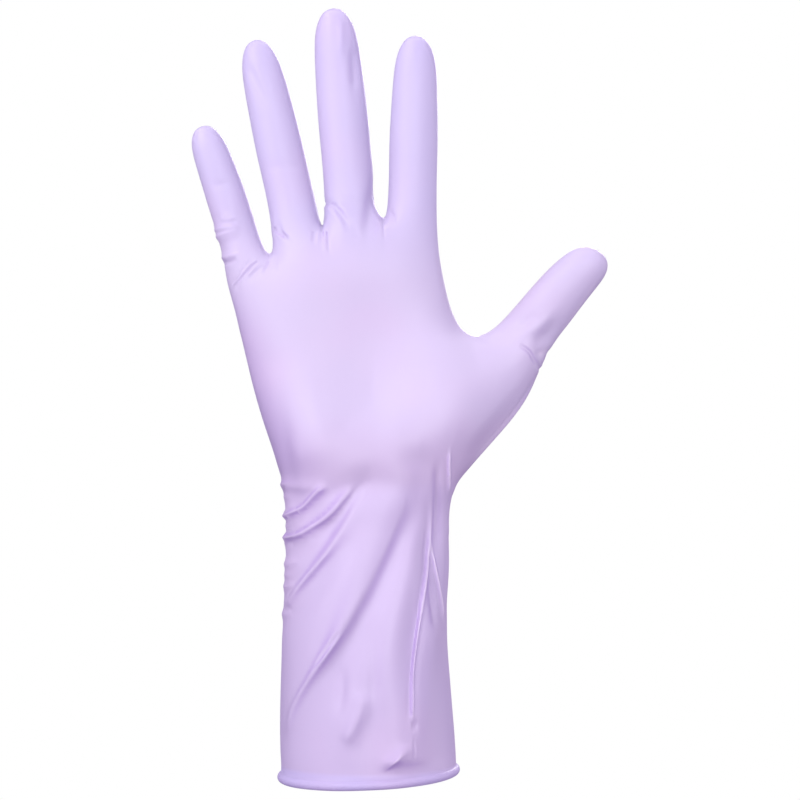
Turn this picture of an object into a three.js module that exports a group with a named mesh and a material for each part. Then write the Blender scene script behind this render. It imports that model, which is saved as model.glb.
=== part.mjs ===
// A long-cuffed nitrile exam glove in the shape that it has when worn: right hand, palm to -Y,
// fingers up along +Z, thumb towards +X. It is one dipped film, hollow, and open at the cuff.
// Millimetres. The origin is the centre of the cuff's mouth, at the height of its rolled bead.

import * as THREE from "three";

// The film, and the bead rolled from it at the mouth
const filmThickness = 1.0;
const beadDiameter = 5.0;
const rimWave = 0.5; // how far the rim rises and falls

// The cuff from the mouth to the wrist, and the hand from the wrist to the highest finger web
const cuffLength = 112;
const cuffWidth = 68.2;
const cuffDepth = 60;
const palmLength = 103;
const palmWidth = 84;
const palmDepth = 30;

// The saddle of film between two fingers: how far its front and back ends lie under its top
const saddleFront = 3.5;
const saddleBack = 8;

// Each digit: shift is how far its root is from halfway between its two sides at the palm, lean
// is in degrees towards the little finger's side, bow is how far its middle stands out to that
// side, and curl is how far its tip comes forward.
const fingers = [
  { shift: -1.5, length: 56.2, width: 15.6, depth: 14.2, lean: 17.9, bow: -0.6, curl: 6 }, // little
  { shift: 0.9, length: 76.2, width: 18.3, depth: 15.8, lean: 12.6, bow: 0, curl: 6.5 }, // ring
  { shift: -0.2, length: 82.4, width: 19.5, depth: 16.8, lean: 5.2, bow: 0, curl: 6 }, // middle
  { shift: 1.3, length: 75.6, width: 18.8, depth: 16.4, lean: -1.4, bow: 0, curl: 5 }, // index
];
const thumb = { shift: 2.2, length: 53.0, width: 20.2, depth: 17.6, lean: -38.8, bow: 0.8, curl: 10 };

// How many quads the mesh has
const digitCount = 6; // across the front of each digit, and again across its back
const sideCount = 4; // round each side of a digit, from front to back
const cuffRowCount = 15;
const heelRowCount = 7; // from the wrist to the thumb's web
const palmRows = [0.09, 0.25, 0.44, 0.63, 0.82, 1.0]; // shares of the way on to the finger webs
const digitRows = [0.07, 0.18, 0.32, 0.46, 0.6, 0.74, 0.86, 0.935, 0.982];
const beadCount = 6;
const softenCount = 3; // rounds of smoothing where the digits join

// Cuff sections. at: share of cuffLength. left, right: shares of cuffWidth.
// front, back: shares of cuffDepth. square: 2 is an ellipse, and more is fuller at the corners.
const cuffSections = [
  { at: 0.0, left: -0.503, right: 0.497, front: 0.5, back: 0.5, square: 2.0 },
  { at: 0.16, left: -0.506, right: 0.478, front: 0.49, back: 0.49, square: 2.0 },
  { at: 0.34, left: -0.502, right: 0.453, front: 0.468, back: 0.465, square: 2.0 },
  { at: 0.48, left: -0.494, right: 0.444, front: 0.445, back: 0.438, square: 2.05 },
  { at: 0.62, left: -0.479, right: 0.443, front: 0.41, back: 0.4, square: 2.1 },
  { at: 0.8, left: -0.466, right: 0.443, front: 0.352, back: 0.35, square: 2.15 },
  { at: 0.92, left: -0.478, right: 0.45, front: 0.318, back: 0.312, square: 2.2 },
  { at: 1.0, left: -0.492, right: 0.479, front: 0.305, back: 0.295, square: 2.25 },
];

// Sections of the heel of the hand, from the wrist to the thumb's web. left, right: shares of
// palmWidth. front, back: shares of palmDepth. taper: how thin the thumb's side is drawn out.
const heelSections = [
  { at: 0.0, left: -0.4, right: 0.389, front: 0.61, back: 0.59, square: 2.25, taper: 0 },
  { at: 0.25, left: -0.438, right: 0.492, front: 0.63, back: 0.55, square: 2.3, taper: 0.35 },
  { at: 0.5, left: -0.49, right: 0.597, front: 0.58, back: 0.51, square: 2.4, taper: 0.45 },
  { at: 0.75, left: -0.533, right: 0.695, front: 0.52, back: 0.49, square: 2.5, taper: 0.35 },
  { at: 1.0, left: -0.571, right: 0.771, front: 0.48, back: 0.48, square: 2.5, taper: 0.15 },
];

// Sections of the palm, from the thumb's web to the finger webs, in the same shares
const palmSections = [
  { at: 0.0, left: -0.571, right: 0.513, front: 0.47, back: 0.48, square: 2.5, taper: 0.25 },
  { at: 0.09, left: -0.58, right: 0.452, front: 0.465, back: 0.475, square: 2.5, taper: 0.15 },
  { at: 0.25, left: -0.59, right: 0.405, front: 0.455, back: 0.47, square: 2.5, taper: 0.05 },
  { at: 0.44, left: -0.605, right: 0.373, front: 0.45, back: 0.465, square: 2.5, taper: 0 },
  { at: 0.63, left: -0.619, right: 0.354, front: 0.44, back: 0.455, square: 2.55, taper: 0 },
  { at: 0.82, left: -0.637, right: 0.34, front: 0.415, back: 0.43, square: 2.6, taper: 0 },
  { at: 1.0, left: -0.668, right: 0.321, front: 0.37, back: 0.39, square: 2.6, taper: 0 },
];

// Where the thumb's root and the fingers' roots begin and end, from the little finger's side.
// at: share of the columns. across: share of palmWidth. height: share of palmLength, of the top.
const thumbSplit = [
  { at: 0.0, across: -0.545, height: 0.5 },
  { at: 0.4, across: -0.02, height: 0.548 },
  { at: 0.8, across: 0.513, height: 0.558 },
  { at: 1.0, across: 0.745, height: 0.412 },
];
const fingerSplit = [
  { at: 0.0, across: -0.645, height: 0.785 },
  { at: 0.25, across: -0.453, height: 0.873 },
  { at: 0.5, across: -0.2155, height: 0.997 },
  { at: 0.75, across: 0.063, height: 1.0 },
  { at: 1.0, across: 0.295, height: 0.905 },
];

// Soft mounds and hollows of the hand under the film. across, broad: shares of palmWidth.
// height, tall: shares of palmLength. front, back: shares of palmDepth, outwards.
const mounds = [
  { across: 0.41, height: 0.22, broad: 0.24, tall: 0.25, front: 0.24, back: 0 }, // ball of thumb
  { across: -0.3, height: 0.17, broad: 0.22, tall: 0.28, front: 0.13, back: 0 }, // heel of hand
  { across: 0.02, height: 0.44, broad: 0.2, tall: 0.24, front: -0.13, back: 0 }, // hollow of palm
  { across: 0.52, height: 0.57, broad: 0.13, tall: 0.1, front: -0.22, back: -0.24 }, // thumb web
  { across: -0.16, height: 0.84, broad: 0.42, tall: 0.1, front: 0.05, back: 0.04 }, // knuckles
];

// Sections of the digits. at: share of the length. width, depth: shares of the digit's own.
const fingerSections = [
  { at: 0.0, width: 1.06, depth: 1.16 },
  { at: 0.1, width: 1.04, depth: 1.08 },
  { at: 0.3, width: 0.99, depth: 0.99 },
  { at: 0.48, width: 1.01, depth: 0.99 },
  { at: 0.65, width: 0.96, depth: 0.92 },
  { at: 0.78, width: 0.91, depth: 0.86 },
  { at: 0.87, width: 0.85, depth: 0.8 },
  { at: 0.935, width: 0.7, depth: 0.68 },
  { at: 0.982, width: 0.41, depth: 0.4 },
];
const thumbSections = [
  { at: 0.0, width: 1.27, depth: 1.2 },
  { at: 0.12, width: 1.13, depth: 1.12 },
  { at: 0.26, width: 1.04, depth: 1.03 },
  { at: 0.42, width: 1.01, depth: 0.99 },
  { at: 0.58, width: 0.98, depth: 0.94 },
  { at: 0.74, width: 0.92, depth: 0.86 },
  { at: 0.86, width: 0.83, depth: 0.77 },
  { at: 0.935, width: 0.68, depth: 0.64 },
  { at: 0.982, width: 0.4, depth: 0.38 },
];

// Folds of the loose film: a valley along a curve through three places, with a soft rise on each
// side. side: 1 on the palm's side and -1 on the back. a, b, c: shares of cuffWidth across, and
// of cuffLength up. depth: millimetres at the deepest. breadth: millimetres from the middle.
const folds = [
  { side: 1, ax: -0.5, az: 1.0, bx: -0.1, bz: 1.0, cx: 0.5, cz: 1.12, depth: 1.8, breadth: 4.5 },
  { side: 1, ax: -0.47, az: 0.9, bx: -0.36, bz: 0.93, cx: -0.24, cz: 0.98, depth: 1.2, breadth: 3 },
  { side: 1, ax: -0.47, az: 0.8, bx: -0.24, bz: 0.87, cx: -0.05, cz: 1.0, depth: 1.7, breadth: 3.6 },
  { side: 1, ax: -0.45, az: 0.56, bx: -0.23, bz: 0.76, cx: 0.03, cz: 1.02, depth: 2.0, breadth: 5 },
  { side: 1, ax: -0.32, az: 0.14, bx: -0.02, bz: 0.61, cx: 0.26, cz: 1.0, depth: 2.6, breadth: 6 },
  { side: 1, ax: 0.23, az: 0.1, bx: 0.23, bz: 0.42, cx: 0.37, cz: 0.95, depth: 2.4, breadth: 4 },
  { side: 1, ax: 0.31, az: 0.8, bx: 0.38, bz: 0.62, cx: 0.43, cz: 0.44, depth: 1.2, breadth: 3.4 },
  { side: 1, ax: -0.02, az: 0.3, bx: 0.02, bz: 0.2, cx: -0.03, cz: 0.1, depth: 1.2, breadth: 6 },
  { side: -1, ax: -0.47, az: 0.94, bx: 0.0, bz: 0.9, cx: 0.46, cz: 1.0, depth: 1.5, breadth: 4.5 },
  { side: -1, ax: 0.45, az: 0.84, bx: 0.16, bz: 0.8, cx: -0.12, cz: 0.92, depth: 1.5, breadth: 4 },
  { side: -1, ax: 0.44, az: 0.62, bx: 0.2, bz: 0.66, cx: -0.2, cz: 0.88, depth: 2.0, breadth: 5 },
  { side: -1, ax: 0.34, az: 0.2, bx: 0.1, bz: 0.44, cx: -0.26, cz: 0.8, depth: 2.4, breadth: 6 },
  { side: -1, ax: -0.28, az: 0.12, bx: -0.3, bz: 0.4, cx: -0.38, cz: 0.76, depth: 1.9, breadth: 4.5 },
];

// A column of a table at any share, on a smooth curve through its rows
function valueAt(rows, column, at) {
  const last = rows.length - 1;
  let i = 0;
  while (i < last - 1 && at > rows[i + 1].at) i += 1;
  const span = rows[i + 1].at - rows[i].at;
  const slope = (j) => {
    const low = Math.max(0, j - 1);
    const high = Math.min(last, j + 1);
    return (rows[high][column] - rows[low][column]) / (rows[high].at - rows[low].at);
  };
  const t = THREE.MathUtils.clamp((at - rows[i].at) / span, 0, 1);
  const t2 = t * t;
  const t3 = t2 * t;
  return (
    (2 * t3 - 3 * t2 + 1) * rows[i][column] +
    (t3 - 2 * t2 + t) * span * slope(i) +
    (3 * t2 - 2 * t3) * rows[i + 1][column] +
    (t3 - t2) * span * slope(i + 1)
  );
}

// Every column of a table at a share, with its lengths in millimetres
function sectionAt(rows, at, width, depth) {
  return {
    left: valueAt(rows, "left", at) * width,
    right: valueAt(rows, "right", at) * width,
    front: valueAt(rows, "front", at) * depth,
    back: valueAt(rows, "back", at) * depth,
    square: valueAt(rows, "square", at),
    taper: rows[0].taper === undefined ? 0 : valueAt(rows, "taper", at),
  };
}

const mix = THREE.MathUtils.lerp;
const signedPower = (value, power) => Math.sign(value) * Math.abs(value) ** power;
const bell = (distance, breadth) => Math.exp(-((distance / breadth) ** 2));

// A closed section seen from above. angle is 0 in front and a right angle at the thumb's side.
function sectionPoint(section, angle, height) {
  const middle = (section.left + section.right) / 2;
  const half = (section.right - section.left) / 2;
  const across = signedPower(Math.sin(angle), 2 / section.square);
  const forward = signedPower(Math.cos(angle), 2 / section.square);
  const thin = 1 - section.taper * Math.max(0, across) ** 3;
  const reach = forward > 0 ? section.front : section.back;
  return new THREE.Vector3(middle + half * across, -reach * forward * thin, height);
}

// Angles of a closed ring from those of its front, with the back as its mirror
function ringAngles(front) {
  const left = front[0];
  const right = front[front.length - 1];
  const ring = [...front];
  for (let j = 1; j < sideCount; j += 1) ring.push(mix(right, Math.PI - right, j / sideCount));
  for (let j = front.length - 1; j >= 0; j -= 1) ring.push(Math.PI - front[j]);
  for (let j = 1; j < sideCount; j += 1) {
    ring.push(mix(Math.PI - left, 2 * Math.PI + left, j / sideCount));
  }
  return ring;
}

// A number for each place of a ring from those of its front columns, the same on the back
function ringValues(columns, valueOf) {
  const front = Array.from({ length: columns + 1 }, (_, j) => valueOf(j / columns));
  const side = (value) => Array(sideCount - 1).fill(value);
  return [...front, ...side(front[columns]), ...[...front].reverse(), ...side(front[0])];
}

const points = [];
const quads = [];
const triangles = [];
const softness = []; // 0 to 1: how much the smoothing moves each point

function addPoint(point, soft = 0) {
  points.push(point);
  softness.push(soft);
  return points.length - 1;
}

// Quads between two rings with the same number of places
function joinRings(lower, upper) {
  for (let k = 0; k < lower.length; k += 1) {
    const next = (k + 1) % lower.length;
    quads.push([lower[k], lower[next], upper[next], upper[k]]);
  }
}

// The saddle of film between two neighbouring digits, from the ring's front to its back
function addSaddle(frontIndex, backIndex, top) {
  const front = points[frontIndex];
  const back = points[backIndex];
  const saddle = [];
  for (let j = 1; j < sideCount; j += 1) {
    const share = j / sideCount;
    const point = front.clone().lerp(back, share);
    const drop = share < 0.5 ? saddleFront : saddleBack;
    point.z = top - drop * (Math.abs(2 * share - 1) ** 2.4);
    saddle.push(addPoint(point, 1));
  }
  return saddle;
}

// The cuff and the heel of the hand: rings of places for all five digits
const wideColumns = 5 * digitCount;
const wideCount = 2 * (wideColumns + sideCount);
const evenStep = (2 * Math.PI) / wideCount;
const evenAngles = ringAngles(
  Array.from({ length: wideColumns + 1 }, (_, j) => (j - wideColumns / 2) * evenStep),
);

// Angles that put a ring's front places at the given shares across a section
function anglesAcross(columns, rows, section) {
  const middle = (section.left + section.right) / 2;
  const half = (section.right - section.left) / 2;
  const front = Array.from({ length: columns + 1 }, (_, j) => {
    const across = (valueAt(rows, "across", j / columns) * palmWidth - middle) / half;
    return Math.asin(signedPower(across, section.square / 2));
  });
  return ringAngles(front);
}

const beadRadius = beadDiameter / 2;
const beadTurn = Math.asin(filmThickness / beadDiameter); // where the bead leaves the film
const filmStart = beadRadius * Math.cos(beadTurn);

function addRing(section, angles, heights, soft = 0) {
  return angles.map((angle, k) => addPoint(sectionPoint(section, angle, heights[k]), soft));
}

const rings = [];
for (let row = 0; row <= cuffRowCount; row += 1) {
  const share = row / cuffRowCount;
  const section = sectionAt(cuffSections, share, cuffWidth, cuffDepth);
  const wave = (angle) => rimWave * Math.sin(3 * angle + 1) * (1 - share) ** 4;
  const heights = evenAngles.map((angle) => mix(filmStart, cuffLength, share) + wave(angle));
  rings.push(addRing(section, evenAngles, heights));
}

const splitSection = sectionAt(heelSections, 1, palmWidth, palmDepth);
const splitAngles = anglesAcross(wideColumns, thumbSplit, splitSection);
const splitTops = ringValues(
  wideColumns,
  (share) => cuffLength + palmLength * valueAt(thumbSplit, "height", share),
);
for (let row = 1; row <= heelRowCount; row += 1) {
  const share = row / heelRowCount;
  const section = sectionAt(heelSections, share, palmWidth, palmDepth);
  const turn = THREE.MathUtils.smoothstep(share, 0, 1);
  const angles = evenAngles.map((angle, k) => mix(angle, splitAngles[k], turn));
  const heights = splitTops.map((top) => mix(cuffLength, top - saddleFront, share));
  rings.push(addRing(section, angles, heights, row < heelRowCount ? 0.25 : 0.8));
}
for (let i = 1; i < rings.length; i += 1) joinRings(rings[i - 1], rings[i]);

// The thumb's web: the ring parts into one for the palm and one for the thumb
const split = rings[rings.length - 1];
const palmColumns = 4 * digitCount;
const backOf = (columns, column) => 2 * columns + sideCount - column;
const webFront = split[palmColumns];
const webBack = split[backOf(wideColumns, palmColumns)];
const webTop = cuffLength + palmLength * thumbSplit[2].height;
const thumbSaddle = addSaddle(webFront, webBack, webTop);
const palmStart = [
  ...split.slice(0, palmColumns + 1),
  ...thumbSaddle,
  ...split.slice(backOf(wideColumns, palmColumns)),
];
const thumbStart = [
  ...split.slice(palmColumns, backOf(wideColumns, palmColumns) + 1),
  ...[...thumbSaddle].reverse(),
];

// The palm, from the thumb's web to the finger webs
const topSection = sectionAt(palmSections, 1, palmWidth, palmDepth);
const topAngles = anglesAcross(palmColumns, fingerSplit, topSection);
const tops = ringValues(
  palmColumns,
  (share) => cuffLength + palmLength * valueAt(fingerSplit, "height", share) - saddleFront,
);
const startSection = sectionAt(palmSections, 0, palmWidth, palmDepth);
const startRows = thumbSplit.slice(0, 3).map((row) => ({ ...row, at: row.at / 0.8 }));
startRows[2] = { ...startRows[2], across: startRows[2].across - 0.03 };
const startAngles = anglesAcross(palmColumns, startRows, startSection);
const startTops = ringValues(
  palmColumns,
  (share) => cuffLength + palmLength * valueAt(startRows, "height", share) - saddleFront,
);
let palmRing = palmStart;
for (const share of palmRows) {
  const section = sectionAt(palmSections, share, palmWidth, palmDepth);
  const angles = startAngles.map((angle, k) => mix(angle, topAngles[k], share));
  const heights = startTops.map((height, k) => mix(height, tops[k], share));
  const soft = share < 0.3 || share > 0.8 ? 0.8 : 0.2;
  const ring = addRing(section, angles, heights, soft);
  joinRings(palmRing, ring);
  palmRing = ring;
}

// A digit grown from the ring of places at its root
function addDigit(digit, sections, start, root) {
  const lean = THREE.MathUtils.degToRad(digit.lean);
  const along = new THREE.Vector3(-Math.sin(lean), 0, Math.cos(lean));
  const aside = new THREE.Vector3(-Math.cos(lean), 0, -Math.sin(lean));
  const axisAt = (share) =>
    root
      .clone()
      .addScaledVector(along, digit.length * share)
      .addScaledVector(aside, digit.bow * Math.sin(Math.PI * share))
      .setY(root.y - digit.curl * share ** 1.8);
  const step = (2 * Math.PI) / start.length;
  let ring = start;
  for (const share of digitRows) {
    const middle = axisAt(share);
    const ahead = axisAt(share + 0.02).sub(axisAt(share - 0.02)).normalize();
    const side = aside.clone().negate();
    const forward = new THREE.Vector3().crossVectors(side, ahead).normalize().negate();
    if (forward.y > 0) forward.negate();
    const halfWidth = (valueAt(sections, "width", share) * digit.width) / 2;
    const halfDepth = (valueAt(sections, "depth", share) * digit.depth) / 2;
    const next = start.map((_, k) => {
      const angle = (k - digitCount / 2) * step;
      const point = middle.clone();
      point.addScaledVector(side, halfWidth * Math.sin(angle));
      point.addScaledVector(forward, halfDepth * Math.cos(angle));
      return addPoint(point, share < 0.1 ? 0.8 : share < 0.2 ? 0.3 : 0);
    });
    joinRings(ring, next);
    ring = next;
  }
  const tip = addPoint(axisAt(1));
  for (let k = 0; k < ring.length; k += 1) {
    triangles.push([ring[k], ring[(k + 1) % ring.length], tip]);
  }
}

// The middle of a digit's root, between the two places where its sides begin
function rootBetween(from, to, digit) {
  const across = ((from.across + to.across) / 2) * palmWidth + digit.shift;
  const height = ((from.height + to.height) / 2) * palmLength;
  return new THREE.Vector3(across, 0, cuffLength + height);
}

// The four fingers, with a saddle between each two
const saddles = [];
for (let i = 1; i < fingers.length; i += 1) {
  const column = i * digitCount;
  const top = cuffLength + palmLength * fingerSplit[i].height;
  saddles.push(addSaddle(palmRing[column], palmRing[backOf(palmColumns, column)], top));
}
fingers.forEach((finger, i) => {
  const from = i * digitCount;
  const to = from + digitCount;
  const rightBack = backOf(palmColumns, to);
  const leftBack = backOf(palmColumns, from);
  const right = i < 3 ? saddles[i] : palmRing.slice(to + 1, rightBack);
  const left = i > 0 ? [...saddles[i - 1]].reverse() : palmRing.slice(leftBack + 1);
  const start = [
    ...palmRing.slice(from, to + 1),
    ...right,
    ...palmRing.slice(rightBack, leftBack + 1),
    ...left,
  ];
  addDigit(finger, fingerSections, start, rootBetween(fingerSplit[i], fingerSplit[i + 1], finger));
});
addDigit(thumb, thumbSections, thumbStart, rootBetween(thumbSplit[2], thumbSplit[3], thumb));

// The hand's mounds and hollows
for (const point of points) {
  const across = point.x / palmWidth;
  const height = (point.z - cuffLength) / palmLength;
  for (const mound of mounds) {
    const near = bell(across - mound.across, mound.broad) * bell(height - mound.height, mound.tall);
    const reach = point.y < 0 ? mound.front : mound.back;
    const face = THREE.MathUtils.clamp(Math.abs(point.y) / (palmDepth / 4), 0, 1);
    point.y += Math.sign(point.y) * reach * palmDepth * near * face;
  }
}

// The joins of the digits, made smooth
const neighbours = points.map(() => new Set());
for (const face of [...quads, ...triangles]) {
  face.forEach((from, j) => {
    const to = face[(j + 1) % face.length];
    neighbours[from].add(to);
    neighbours[to].add(from);
  });
}
for (let turn = 0; turn < softenCount; turn += 1) {
  const moved = points.map((point, i) => {
    const mean = new THREE.Vector3();
    for (const j of neighbours[i]) mean.add(points[j]);
    mean.divideScalar(neighbours[i].size);
    return point.clone().lerp(mean, softness[i] * 0.5);
  });
  moved.forEach((point, i) => points[i].copy(point));
}

// Outward directions at the points of the film
function pointNormals() {
  const normals = points.map(() => new THREE.Vector3());
  for (const face of [...quads, ...triangles]) {
    const [a, b, c] = face;
    const d = face[3] === undefined ? a : face[3];
    const first = points[c].clone().sub(points[a]);
    const second = (d === a ? points[b] : points[d]).clone().sub(d === a ? points[a] : points[b]);
    const normal = d === a ? second.cross(first) : first.cross(second);
    face.forEach((i) => normals[i].add(normal));
  }
  return normals.map((normal) => normal.normalize());
}

// The folds
const unfolded = pointNormals();
const ways = folds.map((fold) => {
  const place = (across, up) => new THREE.Vector3(across * cuffWidth, 0, up * cuffLength);
  const stops = [place(fold.ax, fold.az), place(fold.bx, fold.bz), place(fold.cx, fold.cz)];
  return { fold, curve: new THREE.CatmullRomCurve3(stops).getSpacedPoints(40) };
});
points.forEach((point, i) => {
  const normal = unfolded[i];
  let rise = 0;
  for (const { fold, curve } of ways) {
    const facing = THREE.MathUtils.clamp(-normal.y * fold.side * 2.5 + 0.4, 0, 1);
    if (facing === 0 || point.z > cuffLength * 1.3) continue;
    let nearest = Infinity;
    let place = 0;
    curve.forEach((stop, j) => {
      const distance = Math.hypot(stop.x - point.x, stop.z - point.z);
      if (distance < nearest) {
        nearest = distance;
        place = j / (curve.length - 1);
      }
    });
    const fade = Math.sin(Math.PI * mix(0.12, 0.88, place));
    const valley = bell(nearest, fold.breadth);
    const shoulder = bell(nearest - 1.9 * fold.breadth, fold.breadth);
    rise += fold.depth * fade * facing * (0.45 * shoulder - valley);
  }
  point.addScaledVector(normal, rise);
});

// The inner face of the film
const normals = pointNormals();
const mouth = rings[0];
mouth.forEach((i) => normals[i].setZ(0).normalize());
const inner = points.map((point, i) => point.clone().addScaledVector(normals[i], -filmThickness));

const vertices = [...points, ...inner];
const faces = [];
function addFace(a, b, c, d) {
  const straight = vertices[a].distanceTo(vertices[c]) <= vertices[b].distanceTo(vertices[d]);
  if (straight) faces.push(a, b, c, a, c, d);
  else faces.push(a, b, d, b, c, d);
}
const inside = points.length;
for (const [a, b, c, d] of quads) {
  addFace(a, b, c, d);
  addFace(d + inside, c + inside, b + inside, a + inside);
}
for (const [a, b, c] of triangles) faces.push(a, b, c, c + inside, b + inside, a + inside);

// The bead, rolled round the lower edge of the film
let beadRing = mouth;
for (let turn = 1; turn <= beadCount; turn += 1) {
  const angle = mix(beadTurn, 2 * Math.PI - beadTurn, turn / beadCount);
  const next = mouth.map((i) => {
    if (turn === beadCount) return i + inside;
    const point = points[i].clone();
    point.addScaledVector(normals[i], beadRadius * Math.sin(angle) - filmThickness / 2);
    point.z += beadRadius * Math.cos(angle) - filmStart;
    return vertices.push(point) - 1;
  });
  mouth.forEach((_, k) => {
    const after = (k + 1) % mouth.length;
    addFace(next[k], next[after], beadRing[after], beadRing[k]);
  });
  beadRing = next;
}

const geometry = new THREE.BufferGeometry();
geometry.setFromPoints(vertices);
geometry.setIndex(faces);
geometry.computeVertexNormals();

const nitrile = new THREE.MeshStandardMaterial({ color: 0xcdb9ee, roughness: 0.48, metalness: 0 });
const glove = new THREE.Mesh(geometry, nitrile);
glove.name = "glove";

const part = new THREE.Group();
part.add(glove);

export default part;
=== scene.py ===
import math

import bmesh
import bpy
import numpy as np
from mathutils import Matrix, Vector, noise


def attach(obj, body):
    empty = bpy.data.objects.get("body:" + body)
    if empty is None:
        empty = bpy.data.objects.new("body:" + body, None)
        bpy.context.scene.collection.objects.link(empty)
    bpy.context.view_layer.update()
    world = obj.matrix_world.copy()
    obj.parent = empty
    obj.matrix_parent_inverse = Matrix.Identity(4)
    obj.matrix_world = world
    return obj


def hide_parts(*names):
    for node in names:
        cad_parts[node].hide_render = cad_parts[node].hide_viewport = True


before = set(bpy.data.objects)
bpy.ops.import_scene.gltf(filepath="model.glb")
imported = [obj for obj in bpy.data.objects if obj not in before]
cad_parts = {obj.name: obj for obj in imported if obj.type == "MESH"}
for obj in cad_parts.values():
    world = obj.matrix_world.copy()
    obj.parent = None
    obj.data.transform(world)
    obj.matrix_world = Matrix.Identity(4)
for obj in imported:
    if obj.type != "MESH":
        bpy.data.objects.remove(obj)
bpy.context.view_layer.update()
scene = bpy.context.scene
mm = 0.001

# The glove stands on its open cuff: palm to -Y, thumb to +X, fingertips up.
glove = {
    "node": "glove",
    "wall": 0.6 * mm,  # distance between the film's outer and inner faces
    "rimHeight": 4.0 * mm,  # the film above this height is shaped, the bead hangs below it
    "beadRadius": 1.8 * mm,
    "beadSteps": 18,
    "rimTilt": 1.45 * mm,  # the thumb's side of the mouth stands this much higher than the middle
    "rimHalfWidth": 35.0 * mm,
    "rimSag": 0.7 * mm,  # and the palm's side hangs this much lower
    "rimHalfDepth": 28.0 * mm,
    "rimLift": 0.2 * mm,
    "outerLevels": 2,
    "innerLevels": 1,
    "waveHeight": 0.3 * mm,
    "waveScale": (85, 85, 30),
    "waveOnHand": 0.35,  # share of the waves that is left on the stretched hand
    "waveFrom": (130.0, 105.0),  # mm up, where the hand's film turns into the loose cuff's
    "plump": 0.12 * mm,  # makes up for what the subdivision takes off
    "shapedFrom": (4.0, 9.0),  # mm up, where the shaping sets in above the rim
    "paleAndHighlightFrom": (5.0, 9.0),
    "paleAndHighlightBreadth": 0.9,  # breadth of the paler film and its painted highlight, for each mm of the fold's breadth
    "foldShadeFrom": (0.01, 0.32),  # 1 less the cosine of the film's turn, from no painted fold shade to full painted fold shade
}

# How folds are laid, then the usual values that a row of their table leaves out
laying = {
    "steps": 64,  # points along one fold
    "reach": 5,  # breadths to each side
    "thinnest": 0.05,  # least breadth, in mm
    "turnSpan": 0.4,  # how much further round a fold shows in full
    "splitTurns": 2,
    "splitWithin": 3.0,  # breadths to each side in which the faces are split
    "splitHeight": 0.1,  # lowest fold that the faces are split for, in mm
    "splitShown": 0.02,  # least share of the fold that shows there
    "edgeForBreadth": 0.95,  # longest edge on a fold, for each mm of its breadth
    "plainEdge": 9.0,  # longest edge elsewhere, in mm
}
usual = {"fadeIn": 0.25, "fadeOut": 0.25, "start": -0.1, "side": 1, "paleAndHighlight": 0}

# Small moves of the fingertips and webs: x, z, radius, then the move in x and z, all in mm
nudges = (
    (-44.0, 284.0, 13.0, -0.5, 2.3),  # ring fingertip
    (-14.0, 296.0, 10.0, 0.0, 0.5),  # middle fingertip
    (18.0, 287.0, 11.0, 0.0, 1.2),  # index fingertip
    (-64.0, 251.0, 10.0, -0.2, 0.6),  # little fingertip
    (88.0, 201.0, 11.0, 1.1, -0.9),  # thumb tip
    (-38.2, 204.5, 6.5, 1.2, -2.8),  # web of the little and ring fingers
    (-18.6, 216.0, 5.5, 0.2, -3.2),  # web of the ring and middle fingers
    (5.0, 216.5, 5.5, 0.0, -1.0),  # web of the middle and index fingers
)
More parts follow.
